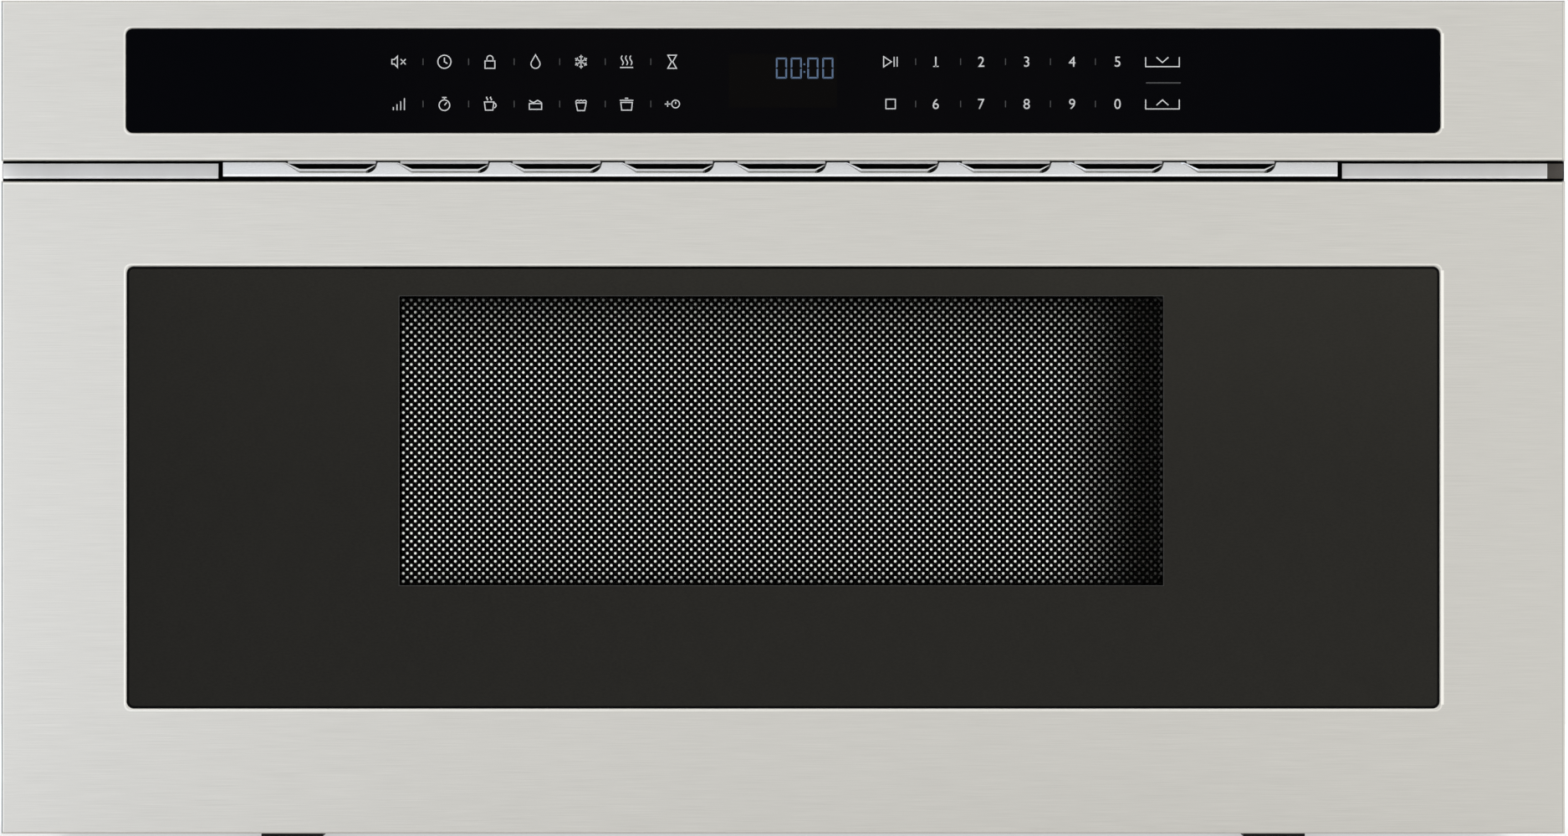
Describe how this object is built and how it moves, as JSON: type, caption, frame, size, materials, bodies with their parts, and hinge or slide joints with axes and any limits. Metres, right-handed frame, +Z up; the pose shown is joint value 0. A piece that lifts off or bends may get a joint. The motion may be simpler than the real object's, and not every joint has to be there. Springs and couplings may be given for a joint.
{
  "type": "microwave drawer",
  "caption": "Built-in microwave drawer: steel front with dark meshed window, touch control strip, louvred air slot, and a powered bin on ball slides.",
  "frame": {"origin": "on the shelf that the appliance stands on, under the middle of its whole footprint", "axes": "+X to the right as seen from the kitchen, +Y from the front to the back, +Z up"},
  "size_m": [0.762, 0.577, 0.408],
  "materials": {
    "brushed_steel": "brushed along its length, clear",
    "bright_steel": "fine satin, pressed louvres",
    "satin_steel": "satin",
    "brown_plastic": "moulded, matte",
    "dark_glass": "polished, tinted, with a dark border",
    "black_glass": "polished, black behind",
    "black_mesh": "black enamel",
    "black_plastic": "moulded, fine texture",
    "clear_glass": "clear",
    "painted_liner": "dark grey powder coat",
    "grey_enamel": "light grey enamel with fine specks",
    "glass_ceramic": "white glass ceramic, satin",
    "white_plastic": "acetal, satin",
    "zinc_steel": "bright zinc-coated sheet",
    "ball_steel": "hardened balls in pressed strips",
    "black_paint": "black powder coat",
    "black_rubber": "matte",
    "bare_aluminium": "mill finish",
    "core_steel": "stacked laminations, varnished",
    "copper_winding": "enamelled copper wire under varnish",
    "board_green": "solder-masked laminate",
    "mica_sheet": "mottled mica, waxy",
    "screw_steel": "plated screw heads"
  },
  "bodies": {
    "chassis": {"slide_outers": "zinc_steel", "rail_beams": "zinc_steel", "rack_guide": "white_plastic", "drive_motor": "black_paint", "base_pan": "zinc_steel", "base_runners": "black_rubber", "side_panel_left": "zinc_steel", "side_panel_right": "zinc_steel", "top_cover": "zinc_steel", "rear_panel": "zinc_steel", "front_plate": "black_paint", "side_flanges": "black_paint", "top_flange": "black_paint", "cavity_wrapper": "grey_enamel", "cavity_floor": "grey_enamel", "cavity_rear": "grey_enamel", "exhaust_duct": "zinc_steel", "waveguide": "zinc_steel", "magnetron": "bare_aluminium", "transformer_core": "core_steel", "transformer_coils": "copper_winding", "capacitor": "bare_aluminium", "fan_housing": "black_plastic", "fan_motor": "core_steel", "filter_board": "board_green", "lamp_holder": "zinc_steel", "lamp_bulb": "clear_glass", "thermal_cutouts": "bare_aluminium", "interlock_switches": "black_plastic", "cord_gland": "black_rubber", "stirrer_motor": "core_steel", "stirrer_cover": "mica_sheet", "case_screws": "screw_steel", "control_fascia": "brushed_steel", "control_glass": "black_glass", "control_housing": "black_plastic", "control_board": "board_green", "display_module": "black_plastic", "vent_grille": "bright_steel", "slot_trims": "satin_steel", "slot_end_block": "brown_plastic"},
    "drawer": {"drawer_skin": "brushed_steel", "window_glass": "dark_glass", "mesh_plate": "black_mesh", "door_core": "black_plastic", "inner_pane": "clear_glass", "door_liner": "painted_liner", "choke_cover": "black_plastic", "bin_walls": "grey_enamel", "bin_floor": "glass_ceramic", "latch_hooks": "white_plastic", "drawer_arms": "zinc_steel", "slide_inners": "zinc_steel", "drive_rack": "white_plastic"},
    "middle_members": {"slide_middles": "zinc_steel"},
    "outer_ball_cages": {"outer_cages": "ball_steel"},
    "inner_ball_cages": {"inner_cages": "ball_steel"},
    "pinion": {"drive_pinion": "white_plastic"},
    "fan_wheel": {"fan_impeller": "black_plastic"},
    "stirrer": {"stirrer_blade": "bare_aluminium"}
  },
  "joints": [
    {"name": "drawer_slide", "type": "slide", "parent": "chassis", "child": "drawer", "axis": [0, -1, 0], "range_m": [0, 0.38]},
    {"name": "middle_member_slide", "type": "slide", "parent": "chassis", "child": "middle_members", "axis": [0, -1, 0], "range_m": [0, 0.19]},
    {"name": "outer_cage_slide", "type": "slide", "parent": "chassis", "child": "outer_ball_cages", "axis": [0, -1, 0], "range_m": [0, 0.095]},
    {"name": "inner_cage_slide", "type": "slide", "parent": "chassis", "child": "inner_ball_cages", "axis": [0, -1, 0], "range_m": [0, 0.285]},
    {"name": "pinion_spin", "type": "hinge", "parent": "chassis", "child": "pinion", "pos_m": [0, -0.225, 0.038], "axis": [1, 0, 0], "range_deg": [-1, 1816]},
    {"name": "fan_spin", "type": "hinge", "parent": "chassis", "child": "fan_wheel", "pos_m": [0.28425, 0.2495, 0.199], "axis": [0, 1, 0], "continuous": true},
    {"name": "stirrer_spin", "type": "hinge", "parent": "chassis", "child": "stirrer", "pos_m": [0, -0.03725, 0.29], "axis": [0, 0, 1], "continuous": true}
  ],
  "couplings": [
    {"joint": "middle_member_slide", "follows": "drawer_slide", "ratio": 0.5},
    {"joint": "outer_cage_slide", "follows": "drawer_slide", "ratio": 0.25},
    {"joint": "inner_cage_slide", "follows": "drawer_slide", "ratio": 0.75},
    {"joint": "pinion_spin", "follows": "drawer_slide", "rad_per_m": 83.333}
  ]
}
